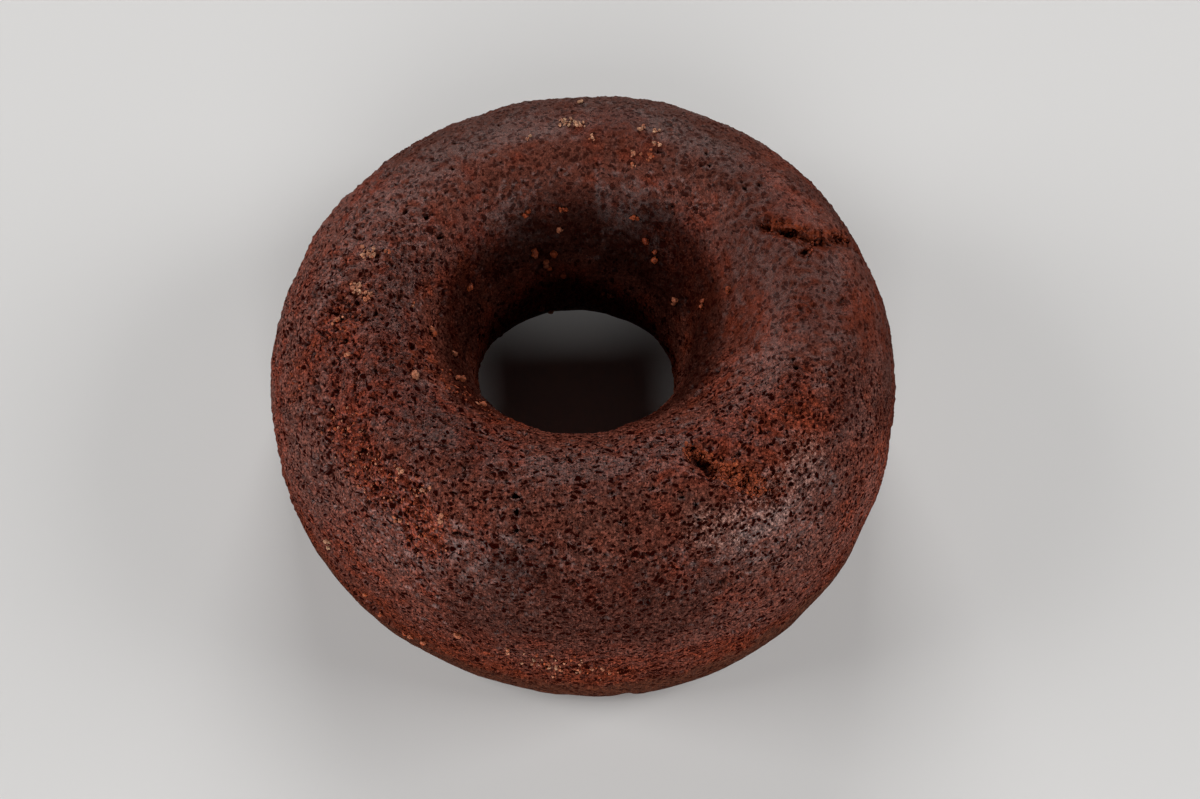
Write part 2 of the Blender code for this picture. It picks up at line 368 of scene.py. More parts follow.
tones = {
    # the first value: how much painted shade darkens the crust, 0 to 1; the second: how much less red and
    # greyer it is, partly a painted sheen
    "frontBand": {"line": ((-106.0, 0.1045, 0.0545), (-97.0, 0.1050, 0.0560), (-88.0, 0.1060, 0.0580),
                           (-76.0, 0.1080, 0.0600)),
                  "halfWidth": 0.0270, "paintedShade": 0.40, "dullAndSheen": 0.50},
    "frontBlotch": {"line": ((-104.0, 0.0970, 0.0720), (-98.0, 0.0990, 0.0710)),
                    "halfWidth": 0.0130, "paintedShade": 0.52, "dullAndSheen": 0.30},
    "frontRight": {"line": ((-69.0, 0.0971, 0.0795), (-60.0, 0.1080, 0.0600), (-50.0, 0.1100, 0.0560)),
                   "halfWidth": 0.0200, "paintedShade": 0.0, "dullAndSheen": 0.60},
    "rightLow": {"line": ((-44.0, 0.1050, 0.0730), (-31.0, 0.1050, 0.0725), (-18.0, 0.1060, 0.0700)),
                 "halfWidth": 0.0140, "paintedShade": 0.14, "dullAndSheen": 0.45},
    "topLeft": {"line": ((-143.0, 0.0640, 0.0800), (-132.0, 0.0650, 0.0815), (-120.0, 0.0670, 0.0830)),
                "halfWidth": 0.0110, "paintedShade": 0.28, "dullAndSheen": 0.0},
    "topFront": {"line": ((-96.0, 0.0710, 0.0850), (-84.0, 0.0720, 0.0860)),
                 "halfWidth": 0.0090, "paintedShade": 0.16, "dullAndSheen": 0.0},
    "topBackRight": {"line": ((40.0, 0.0730, 0.0860), (22.0, 0.0750, 0.0870)),
                     "halfWidth": 0.0120, "paintedShade": 0.34, "dullAndSheen": 0.0},
    "leftEdge": {"line": ((-160.0, 0.0990, 0.0630), (-150.0, 0.1010, 0.0580)),
                 "halfWidth": 0.0200, "paintedShade": 0.0, "dullAndSheen": 0.40},
    "frontTop": {"line": ((-99.0, 0.0900, 0.0815), (-88.0, 0.0910, 0.0815), (-79.0, 0.0930, 0.0800)),
                 "halfWidth": 0.0190, "paintedShade": 0.0, "dullAndSheen": 0.65},
    "holeRight": {"line": ((58.0, 0.0460, 0.0650), (40.0, 0.0480, 0.0670), (24.0, 0.0450, 0.0620),
                           (10.0, 0.0440, 0.0600), (-7.0, 0.0430, 0.0600), (-26.0, 0.0440, 0.0640),
                           (-40.0, 0.0450, 0.0660), (-52.0, 0.0450, 0.0650)),
                  "halfWidth": 0.0175, "paintedShade": 0.74, "dullAndSheen": 0.15},
    "holeBack": {"line": ((130.0, 0.0440, 0.0550), (112.0, 0.0445, 0.0570), (95.0, 0.0455, 0.0590),
                          (79.0, 0.0460, 0.0600)),
                 "halfWidth": 0.0175, "paintedShade": 0.74, "dullAndSheen": 0.10},
    "holeBackRight": {"line": ((66.0, 0.0440, 0.0560), (58.0, 0.0440, 0.0560), (36.0, 0.0420, 0.0520)),
                      "halfWidth": 0.0190, "paintedShade": 0.80, "dullAndSheen": 0.10},
    "holeTop": {"line": ((86.0, 0.0500, 0.0665), (70.0, 0.0505, 0.0670), (58.0, 0.0510, 0.0690)),
                "halfWidth": 0.0110, "paintedShade": 0.48, "dullAndSheen": 0.0},
    "rimRight": {"line": ((20.0, 0.0560, 0.0765), (0.0, 0.0550, 0.0760), (-16.0, 0.0560, 0.0775)),
                 "halfWidth": 0.0120, "paintedShade": 0.34, "dullAndSheen": 0.0},
    "rimLeft": {"line": ((168.0, 0.0600, 0.0785), (-175.0, 0.0610, 0.0790), (-155.0, 0.0620, 0.0795)),
                "halfWidth": 0.0130, "paintedShade": 0.28, "dullAndSheen": 0.0},
    "holeLeft": {"line": ((150.0, 0.0430, 0.0560), (165.0, 0.0415, 0.0540), (-175.0, 0.0415, 0.0560),
                          (-155.0, 0.0420, 0.0600), (-138.0, 0.0430, 0.0640)),
                 "halfWidth": 0.0180, "paintedShade": 0.66, "dullAndSheen": 0.20},
    "backTop": {"line": ((125.0, 0.0930, 0.0790), (105.0, 0.0920, 0.0795), (85.0, 0.0900, 0.0805),
                         (66.0, 0.0880, 0.0830), (48.0, 0.0880, 0.0840)),
                "halfWidth": 0.0280, "paintedShade": 0.22, "dullAndSheen": 0.75},
    "backHole": {"line": ((120.0, 0.0680, 0.0810), (90.0, 0.0660, 0.0820), (60.0, 0.0680, 0.0830)),
                 "halfWidth": 0.0200, "paintedShade": 0.0, "dullAndSheen": 0.20},
    "edgeRight": {"line": ((-8.0, 0.0935, 0.0840), (-18.0, 0.0945, 0.0840), (-28.0, 0.0960, 0.0835)),
                  "halfWidth": 0.0130, "paintedShade": 0.36, "dullAndSheen": 0.0},
    "rightEdge": {"line": ((-14.0, 0.1095, 0.0600), (0.0, 0.1085, 0.0620), (14.0, 0.1060, 0.0660),
                           (28.0, 0.1030, 0.0680)),
                  "halfWidth": 0.0320, "paintedShade": 0.52, "dullAndSheen": 0.05},
    "crackEdge": {"line": ((12.0, 0.0980, 0.0760), (26.0, 0.0960, 0.0780)),
                  "halfWidth": 0.0120, "paintedShade": 0.50, "dullAndSheen": 0.10},
    "topRight": {"line": ((-24.0, 0.0780, 0.0880), (-34.0, 0.0810, 0.0880)),
                 "halfWidth": 0.0085, "paintedShade": 0.24, "dullAndSheen": 0.0},
    "rightTop": {"line": ((-8.0, 0.0820, 0.0860), (4.0, 0.0740, 0.0850), (16.0, 0.0640, 0.0810)),
                 "halfWidth": 0.0270, "paintedShade": 0.36, "dullAndSheen": 0.0},
}

toneEdge = (0.20, 1.10)     # these fade between these parts of their half width
toneRipple = {"size": 0.012, "amount": 0.30, "seed": 5}     # and their edges wander

paintedSheenZone = {           # where a painted sheen makes the skin pale
    "line": ((-43.5, 0.0950, 0.0832), (-50.8, 0.0975, 0.0816), (-56.0, 0.0986, 0.0795),
             (-62.3, 0.0984, 0.0788), (-67.0, 0.0957, 0.0805)),
    "halfWidth": 0.0110,
    "solid": 0.3,   # the part of that width where the painted sheen is full
}

seedSteps = (7.1, 3.3, 5.7)     # how far apart the noise of one seed lies from the next


def spotPlace(angle, radius, height):
    turn = math.radians(angle)
    return np.array((radius * math.cos(turn), radius * math.sin(turn), height))


def distanceToLine(places, line):
    # the line's points are first moved to the nearest places, so that they lie in the surface
    spots = [spotPlace(*spot) for spot in line]
    spots = [places[np.linalg.norm(places - spot, axis=1).argmin()] for spot in spots]
    shortest = np.full(len(places), np.inf)
    for start, end in zip(spots, spots[1:]):
        along = end - start
        share = np.clip((places - start) @ along / (along @ along), 0, 1)
        away = np.linalg.norm(places - start - share[:, None] * along, axis=1)
        shortest = np.minimum(shortest, away)
    return shortest


def smoothStep(values, low, high):
    share = np.clip((values - low) / (high - low), 0, 1)
    return share * share * (3 - 2 * share)


def rippled(places, size, seed):
    # soft noise from -1 to 1 at each place
    shift = Vector([seed * step for step in seedSteps])
    return np.array([noise.noise(Vector(place) / size + shift) for place in places])


# the crust of the cake: pits, crevices, crumb and colour areas, worked out at each point of its mesh

crust = {
    "core": (0.078, 0.035),     # radius and height that the section turns round
    "reach": 0.040,             # about the section's half width
    "drawn": (1.20, 0.55),      # how far pits are drawn out round the cake: mean, extra at the side
    "sideTurn": (0.45, 0.90),   # the side begins between these turns from upright, in radians
    "warp": {"size": 0.0030, "reach": 0.0016},
    "pits": (                   # cell, then the part of it that is pit at the rim and at the floor
        {"side": False, "cell": 0.0042, "rim": 0.38, "floor": 0.20, "depth": 0.0014, "share": 0.33},
        {"side": False, "cell": 0.0026, "rim": 0.42, "floor": 0.22, "depth": 0.0009, "share": 0.50},
        {"side": True, "cell": 0.0060, "rim": 0.38, "floor": 0.20, "depth": 0.0016, "share": 0.40},
        {"side": True, "cell": 0.0036, "rim": 0.44, "floor": 0.24, "depth": 0.0012, "share": 0.62},
    ),
    "pitWidths": (0.75, 1.25),  # pits differ in width by these factors
    "pitDepths": (0.6, 1.4),    # and in depth
    "pitDark": 0.75,            # how dark the painted shade in a pit is
    "softPits": 0.55,           # what is left of the pits where the crust is soft
    "grains": ((0.0030, 0.00030), (0.0014, 0.00025)),   # size and height
    "lumpyLeft": (-0.035, -0.080),      # lumps and crevices begin between these places along X
    "lumps": {"size": 0.0080, "height": 0.00040, "elsewhere": 0.3},
    "crevices": {"size": 0.0080, "width": 0.040, "depth": 0.0013, "patch": 0.014, "where": (0.40, 0.52)},
    "sponge": {"cell": 0.0021, "rim": 0.62, "floor": 0.15, "depth": 0.0013, "share": 0.75,
               "paintedShade": (0.25, 0.80)},
    "smoothBack": (0.0, 0.08),  # the crust goes soft between these places along Y
    "smoothRight": (0.030, 0.060),      # and between these along X
    "roughFront": (-0.050, -0.010),     # but not at the front, along Y
    "smoothShare": 0.35,        # to this share
    "skin": {"patches": 0.030, "mottle": 0.0060, "where": (0.40, 0.56), "least": 0.2, "warm": 0.2},
    "warmFoot": (0.050, 0.018, 0.6),    # heights between which the crumb gets warm, and how warm
    "warmRight": (0.02, 0.09, 0.32),    # and the same with places along X
    "glow": {"size": 0.018, "where": (0.52, 0.68), "most": 0.45},       # warm patches anywhere
    "footSkin": {"height": 0.0165, "lean": 0.07, "lace": 0.0060, "size": 0.011, "edge": 0.0045,
                 "rise": 0.00035, "pits": 0.15},
    "shadyFoot": (0.050, 0.008, 0.46),  # heights between which painted shade darkens the foot, and how dark
}


def sectionTurn(tree, split):
    # the angle round the ring's section, from upright outwards
    across = plus(tree, times(tree, split[0], split[0]), times(tree, split[1], split[1]))
    out = minus(tree, maths(tree, "SQRT", across), crust["core"][0])
    return maths(tree, "ARCTAN2", out, minus(tree, split[2], crust["core"][1]))


def drawnAlong(tree, turn):
    # a fourth direction for the noise, which draws the pits out round the cake
    mean, extra = crust["drawn"]
    cosine = maths(tree, "COSINE", turn)
    return times(tree, crust["reach"], minus(tree, times(tree, turn, mean), times(tree, cosine, extra)))


def skinAtFoot(tree, place, split, along):
    # the skin that is left at the foot, with a ragged upper edge
    foot = crust["footSkin"]
    lace = centred(tree, cloud(tree, place, foot["size"], richNoise, along)[0], foot["lace"])
    leaning = maths(tree, "MULTIPLY_ADD", split[0], -foot["lean"], split[2])
    return ramped(tree, plus(tree, leaning, lace), foot["height"] + foot["edge"], foot["height"])


def firmness(tree, split):
    smoothBack = ramped(tree, split[1], *crust["smoothBack"])
    smoothRight = times(tree, ramped(tree, split[0], *crust["smoothRight"]),
                        ramped(tree, split[1], *crust["roughFront"]))
    return ramped(tree, most(tree, smoothBack, smoothRight), 0.0, 1.0, 1.0, crust["smoothShare"])


def dugPits(tree, bent, along, side, firm):
    top = minus(tree, 1.0, side)
    height, pitShade = 0.0, 0.0
    for layer in crust["pits"]:
        distance, color = cells(tree, bent, layer["cell"], along)
        red, green, blue = parts(tree, color)
        width = between(tree, green, *crust["pitWidths"])
        hole = ramped(tree, maths(tree, "DIVIDE", distance, width), layer["rim"], layer["floor"])
        chosen = maths(tree, "LESS_THAN", red, layer["share"])
        hole = times(tree, hole, times(tree, chosen, side if layer["side"] else top))
        hole = times(tree, hole, between(tree, firm, crust["softPits"], 1.0))
        deep = times(tree, hole, between(tree, blue, *crust["pitDepths"]))
        height = minus(tree, height, times(tree, deep, layer["depth"]))
        # each pit gets painted shade
        pitShade = most(tree, pitShade, times(tree, hole, crust["pitDark"]))
    return height, pitShade


def raisedLumps(tree, place, left):
    lump = crust["lumps"]
    bulge = centred(tree, cloud(tree, place, lump["size"], plainNoise)[0], lump["height"])
    return times(tree, bulge, between(tree, left, lump["elsewhere"], 1.0))


def creviceLines(tree, place, bent, along, crevice):
    # thin lines where a soft noise passes its middle, in some patches only
    wave = cloud(tree, bent, crevice["size"], plainNoise, along)[0]
    line = ramped(tree, maths(tree, "ABSOLUTE", minus(tree, wave, noiseMiddle)), crevice["width"], 0.0)
    patch = cloud(tree, place, crevice["patch"], plainNoise)[0]
    return times(tree, line, ramped(tree, patch, *crevice["where"]))


def spongeHollows(tree, bent):
    # bare crumb is a sponge: round holes with crumb between them
    sponge = crust["sponge"]
    distance, color = cells(tree, bent, sponge["cell"])
    chosen = maths(tree, "LESS_THAN", parts(tree, color)[0], sponge["share"])
    return times(tree, ramped(tree, distance, sponge["rim"], sponge["floor"]), chosen)


def fillCrust(tree, place, bare, warm, paintedShade):
    split = parts(tree, place)
    turn = sectionTurn(tree, split)
    along = drawnAlong(tree, turn)
    joined = tree.nodes.new("ShaderNodeCombineXYZ")
    for socket, value in zip(joined.inputs, (split[0], split[1], along)):
        put(tree, socket, value)
    footSkin = skinAtFoot(tree, place, split, along)
    openShare = between(tree, footSkin, 1.0, crust["footSkin"]["pits"])
    bent = warped(tree, place, place, crust["warp"], softNoise)
    firm = firmness(tree, split)
    height, pitShade = dugPits(tree, bent, along, ramped(tree, turn, *crust["sideTurn"]), firm)
    for size, rise in crust["grains"]:
        height = plus(tree, height, centred(tree, cloud(tree, place, size, plainNoise)[0], rise))
    # the left side is lumpy, with deep crevices
    left = ramped(tree, split[0], *crust["lumpyLeft"])
    height = plus(tree, height, raisedLumps(tree, place, left))
    line = times(tree, creviceLines(tree, place, bent, along, crust["crevices"]), left)
    height = minus(tree, height, times(tree, line, crust["crevices"]["depth"]))
    # and the crevices get painted shade
    pitShade = most(tree, pitShade, times(tree, line, crust["pitDark"]))
    hollow = spongeHollows(tree, bent)
    height = minus(tree, height, times(tree, times(tree, hollow, crust["sponge"]["depth"]), bare))
    # painted shade in the sponge's holes
    gap = times(tree, ramped(tree, hollow, *crust["sponge"]["paintedShade"]), bare)
    pitShade = times(tree, most(tree, pitShade, gap), openShare)
    height = plus(tree, times(tree, height, openShare), times(tree, footSkin, crust["footSkin"]["rise"]))
    # skin is left where the noise is high, and crumb shows elsewhere
    patchy = crust["skin"]
    broad = cloud(tree, place, patchy["patches"], richNoise, along)[0]
    small = cloud(tree, place, patchy["mottle"], richNoise, along)[0]
    mixed = times(tree, plus(tree, broad, small), 0.5)
    skin = ramped(tree, mixed, *patchy["where"], patchy["least"], 1.0)
    # crumb is warmest low down, above the skin of the foot, and towards the right
    lowEdge, highEdge, lowWarm = crust["warmFoot"]
    low = ramped(tree, split[2], lowEdge, highEdge, 0.0, lowWarm)
    leftEdge, rightEdge, rightWarm = crust["warmRight"]
    right = ramped(tree, split[0], leftEdge, rightEdge, 0.0, rightWarm)
    glow = crust["glow"]
    glowing = ramped(tree, cloud(tree, place, glow["size"])[0], *glow["where"], 0.0, glow["most"])
    warmSide = most(tree, low, right)
    skin = times(tree, skin, between(tree, warmSide, 1.0, patchy["warm"]))
    skin = most(tree, times(tree, skin, minus(tree, 1.0, bare)), footSkin)
    # and painted shade makes it darker at the foot
    shadyTop, shadyEnd, shady = crust["shadyFoot"]
    under = ramped(tree, split[2], shadyTop, shadyEnd, 0.0, shady)
    return {"height": height, "pitShade": pitShade, "skin": skin, "footSkin": footSkin,
            "warm": most(tree, warm, most(tree, warmSide, glowing)),
            "shadeDarkening": most(tree, paintedShade, under), "firm": firm, "drawnPlace": joined.outputs[0]}


def makePitting():
    tree, carried = startGeometry("pitting")
    position = tree.nodes.new("GeometryNodeInputPosition").outputs[0]
    bare, warm, paintedShade, cover = [readNamed(tree, name) for name in ("bare", "warm", "paintedShade", "cover")]
    made = fillCrust(tree, position, bare, warm, paintedShade)
    height = times(tree, made.pop("height"), cover)
    made["crumbPlace"] = position
    for name, value in made.items():
        keep = tree.nodes.new("GeometryNodeStoreNamedAttribute")
        keep.data_type = "FLOAT_VECTOR" if name.endswith("Place") else "FLOAT"
        keep.inputs["Name"].default_value = name
        put(tree, keep.inputs["Geometry"], carried)
        put(tree, keep.inputs["Value"], value)
        carried = keep.outputs[0]
    normal = tree.nodes.new("GeometryNodeInputNormal").outputs[0]
    endGeometry(tree, carried, scaled(tree, normal, height))
    return tree


# the cake itself

cakeBody = {
    "merge": 0.000001,          # corners of the loose triangles this near are one
    "voxel": 0.00058,
    "triangles": 197000,
    "roundings": 2,             # times that the solid's faces are divided and rounded
    "baseFade": 0.0015,         # the pits fade out over this height above the base
}


def readPlaces(mesh):
    places = np.empty(len(mesh.vertices) * 3, np.float32)
    mesh.vertices.foreach_get("co", places)
    return places.reshape(-1, 3).astype(float)


def readNormals(mesh):
    normals = np.empty(len(mesh.vertices) * 3, np.float32)
    mesh.vertex_normals.foreach_get("vector", normals)
    return normals.reshape(-1, 3).astype(float)


def setValues(mesh, name, values):
    made = mesh.attributes.new(name, "FLOAT", "POINT")
    made.data.foreach_set("value", np.asarray(values, np.float32))


def finished(piece):
    # applies the piece's modifiers
    graph = bpy.context.evaluated_depsgraph_get()
    mesh = bpy.data.meshes.new_from_object(piece.evaluated_get(graph))
    piece.modifiers.clear()
    piece.data = mesh
    return mesh


def mergedCopy(node):
    bm = bmesh.new()
    bm.from_mesh(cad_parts[node].data)
    bmesh.ops.remove_doubles(bm, verts=bm.verts, dist=cakeBody["merge"])
    mesh = bpy.data.meshes.new("cakeBody")
    bm.to_mesh(mesh)
    bm.free()
    return mesh


def carveGrooves(mesh):
    places, normals = readPlaces(mesh), readNormals(mesh)
    slit = np.zeros(len(places))
    breaks = carving["breaks"]
    for seed, groove in enumerate(grooves.values()):
        away = distanceToLine(places, groove["line"])
        width = groove["halfWidth"]
        near = np.flatnonzero(away < width + groove["wander"])
        away = away[near] + groove["wander"] * rippled(places[near], carving["ripple"], seed)
        deep = groove["depth"] * smoothStep(away, width, carving["floor"] * width)
        whole = smoothStep(rippled(places[near], breaks["size"], seed + breaks["seed"]), *breaks["where"])
        deep *= breaks["depth"] + (1 - breaks["depth"]) * whole
        places[near] -= normals[near] * deep[:, None]
        slit[near] = np.maximum(slit[near], deep / groove["depth"])
    mesh.vertices.foreach_set("co", places.astype(np.float32).ravel())
    mesh.update()
    setValues(mesh, "slit", slit)


def nearZones(places, zones, kinds, edge, ripple=0.0):
    # how much of the zones' values reaches each place
    reached = {kind: np.zeros(len(places)) for kind in kinds}
    for zone in zones.values():
        away = distanceToLine(places, zone["line"]) / zone["halfWidth"] + ripple
        share = 1 - smoothStep(away, *edge)
        for kind in kinds:
            reached[kind] = np.maximum(reached[kind], zone[kind] * share)
    return reached


def makeCakeBody():
    piece = bpy.data.objects.new("cakeBody", mergedCopy("ring_cake"))
    bpy.context.scene.collection.objects.link(piece)
    rounding = piece.modifiers.new("rounding", "SUBSURF")
    rounding.levels = rounding.render_levels = cakeBody["roundings"]
    remesh = piece.modifiers.new("remesh", "REMESH")
    remesh.mode = "VOXEL"
    remesh.voxel_size = cakeBody["voxel"]
    fine = finished(piece)
    print("fine mesh", len(fine.vertices))
    carveGrooves(fine)
    places = readPlaces(fine)
    ripple = toneRipple["amount"] * rippled(places, toneRipple["size"], toneRipple["seed"])
    found = nearZones(places, marks, ("bare", "warm"), markEdge)
    found.update(nearZones(places, tones, ("paintedShade", "dullAndSheen"), toneEdge, ripple))
    for name, values in found.items():
        setValues(fine, name, values)
    # the painted sheen, pale along its line and fading at the sides
    away = distanceToLine(places, paintedSheenZone["line"]) / paintedSheenZone["halfWidth"]
    setValues(fine, "paintedSheen", 1 - smoothStep(away, paintedSheenZone["solid"], 1.0))
    setValues(fine, "cover", smoothStep(places[:, 2], 0.0, cakeBody["baseFade"]))
    pitting = piece.modifiers.new("pitting", "NODES")
    pitting.node_group = makePitting()
    pitted = finished(piece)
    print("crust pitted")
    thin = piece.modifiers.new("thin", "DECIMATE")
    thin.ratio = cakeBody["triangles"] / (2 * len(pitted.polygons))
    thin.use_collapse_triangulate = True
    body = finished(piece)
    bm = bmesh.new()
    bm.from_mesh(body)
    for vert in bm.verts:
        # no point may lie outside the cake's box
        vert.co = [min(max(value, low), high) for value, low, high in zip(vert.co, *cadBox)]
    bm.to_mesh(body)
    print("cake body faces", len(bm.faces))
    bm.free()
    body.shade_smooth()
    body.name = "cakeBody"
    return piece


# finish

crumbFinish = {
    # the skin is greyer than the crumb; part of that grey is a painted sheen
    "skin": (0.125, 0.0325, 0.0195),
    "crumb": (0.150, 0.0250, 0.0115),
    "warmCrumb": (0.215, 0.0385, 0.0122),
    # a duller, greyer colour, partly a painted sheen
    "dullAndSheen": (0.085, 0.0310, 0.0212),
    "footSkin": (0.118, 0.0310, 0.0130),
    # the pale colour of the painted sheen
    "paintedSheen": (0.205, 0.108, 0.085),
    # the colour of painted shade in pits, crevices, slits and gaps
    "pitShade": (0.016, 0.0016, 0.0008),
    "roughness": 0.9,
    "specular": 0.0,
    "sheen": {"skin": 0.50, "crumb": 0.26, "roughness": 0.42, "foot": 0.6},     # the greasy skin
    # grains, with painted shade in the gaps between them
    "grain": {"cell": 0.00075, "gapFrom": 0.56, "gapTo": 0.92, "gap": 0.65, "height": 0.00036,
              "ragged": 0.3},
    "shade": (0.48, 1.80),      # each grain is this much darker or paler
    "speck": {"size": 0.00045, "height": 0.00008, "detail": 0.0},
    "pores": {"share": 0.40, "shadeDarkening": 0.75, "rim": 0.80, "floor": 0.42},   # dark holes, one grain wide, their dark a painted shade; more of them where painted shade darkens the crust
    "warp": {"size": 0.0030, "reach": 0.0018},
    "pinholes": {"cell": 0.0021, "rim": 0.44, "floor": 0.28, "share": 0.72, "depth": 0.0006,
                 "widths": (0.7, 1.3)},
    "ragged": {"size": 0.0011, "amount": 0.30, "pits": 1.6},    # how torn the edges of the pits are
    "crevices": {"size": 0.0050, "width": 0.030, "patch": 0.009, "where": (0.45, 0.58)},
    "pitEdge": (0.20, 0.70),    # a pit's painted shade comes in between these depths
    # how dark the painted shade is in pits, slits and gaps
    "paintedShade": {"pitShade": 0.92, "slit": 0.90, "gap": 0.85},
    "footGrain": 0.65,          # what is left of the grain in the smooth skin of the foot
    "softGrain": 0.15,          # and where the crust is soft
    "softHoles": 0.45,          # and what is left of the small pits where the grain is gone
    "spotty": 0.1,              # a grain has this much more or less skin than the crust round it
    "dullest": 0.85,            # how dull the dullest area is; that dull grey is partly a painted sheen
    "sheenOnGrains": (0.20, 0.90, 0.70),       # the grain shades that take the painted sheen, and how much
}


def makeGrainGroup():
    # fine round grains: their height, the painted shade in the gaps and pores between them, and a random
    # value for each
    group = bpy.data.node_groups.new("fineGrain", "ShaderNodeTree")
    face = group.interface
    face.new_socket("Place", in_out="INPUT", socket_type="NodeSocketVector")
    face.new_socket("Pores", in_out="INPUT", socket_type="NodeSocketFloat")
    for name in ("Height", "GapShade", "Shade"):
        face.new_socket(name, in_out="OUTPUT", socket_type="NodeSocketFloat")
    start = group.nodes.new("NodeGroupInput")
    end = group.nodes.new("NodeGroupOutput")
    grain, speck, pore = crumbFinish["grain"], crumbFinish["speck"], crumbFinish["pores"]
    distance, color = cells(group, start.outputs["Place"], grain["cell"])
    luck, shade = parts(group, color)[:2]
    rough = cloud(group, start.outputs["Place"], speck["size"], speck["detail"])[0]
    dome = times(group, times(group, distance, distance), -grain["height"])
    height = plus(group, dome, times(group, rough, 4 * speck["height"]))
    ragged = maths(group, "MULTIPLY_ADD", rough, grain["ragged"], distance)
    gap = ramped(group, ragged, grain["gapFrom"], grain["gapTo"], 0.0, grain["gap"])
    chosen = maths(group, "LESS_THAN", luck, start.outputs["Pores"])
    empty = times(group, ramped(group, ragged, pore["rim"], pore["floor"]), chosen)
    put(group, end.inputs["Height"], minus(group, height, times(group, empty, grain["height"])))
    put(group, end.inputs["GapShade"], most(group, gap, empty))
    put(group, end.inputs["Shade"], shade)
    return group


def readValue(tree, name, output="Fac"):
    node = tree.nodes.new("ShaderNodeAttribute")
    node.attribute_name = name
    return node.outputs[output]


def addGrain(tree, place, pores):
    grain = tree.nodes.new("ShaderNodeGroup")
    grain.node_tree = grainGroup
    put(tree, grain.inputs["Place"], place)
    put(tree, grain.inputs["Pores"], pores)
    return grain.outputs


def addBump(tree, shader, height):
    bump = tree.nodes.new("ShaderNodeBump")
    bump.inputs["Distance"].default_value = 1.0
    put(tree, bump.inputs["Height"], height)
    put(tree, shader.inputs["Normal"], bump.outputs["Normal"])


def grainHoles(tree, bent, torn):
    # small pits between the large ones
    pinhole = crumbFinish["pinholes"]
    distance, chance = cells(tree, bent, pinhole["cell"])
    red, green = parts(tree, chance)[:2]
    width = between(tree, green, *pinhole["widths"])
    hole = ramped(tree, maths(tree, "DIVIDE", plus(tree, distance, torn), width),
                  pinhole["rim"], pinhole["floor"])
    return times(tree, hole, maths(tree, "LESS_THAN", red, pinhole["share"]))


def darkPlaces(tree, place, grain, grainy):
    # the painted shade in pits, crevices, slits and gaps between grains, and the small holes alone
    darkness, ragged = crumbFinish["paintedShade"], crumbFinish["ragged"]
    bent = warped(tree, place, readValue(tree, "drawnPlace", "Vector"), crumbFinish["warp"], plainNoise)
    torn = cloud(tree, place, ragged["size"], plainNoise)[0]
    torn = between(tree, torn, -ragged["amount"] / 2, ragged["amount"] / 2)
    hole = grainHoles(tree, bent, torn)
    line = creviceLines(tree, place, bent, None, crumbFinish["crevices"])
    pitShade = maths(tree, "MULTIPLY_ADD", torn, ragged["pits"], readValue(tree, "pitShade"))
    pitShade = ramped(tree, pitShade, *crumbFinish["pitEdge"], 0.0, darkness["pitShade"])
    small = times(tree, most(tree, hole, line), between(tree, grainy, crumbFinish["softHoles"], 1.0))
    slit = times(tree, readValue(tree, "slit"), darkness["slit"])
    gap = times(tree, times(tree, grain["GapShade"], darkness["gap"]), grainy)
    return most(tree, most(tree, most(tree, pitShade, small), slit), gap), hole


def crumbColor(tree, grain, kept, footSkin):
    color = blended(tree, readValue(tree, "warm"), crumbFinish["crumb"], crumbFinish["warmCrumb"])
    color = blended(tree, kept, color, crumbFinish["skin"])
    # zones of a duller, greyer colour, partly a painted sheen
    duller = times(tree, readValue(tree, "dullAndSheen"), crumbFinish["dullest"])
    color = blended(tree, duller, color, crumbFinish["dullAndSheen"])
    color = blended(tree, footSkin, color, crumbFinish["footSkin"])
    # the paler grains take the painted sheen
    dustFrom, dustTo, dustMost = crumbFinish["sheenOnGrains"]
    sheenOnGrains = ramped(tree, grain["Shade"], dustFrom, dustTo, 0.0, dustMost)
    return blended(tree, times(tree, readValue(tree, "paintedSheen"), sheenOnGrains), color, crumbFinish["paintedSheen"])


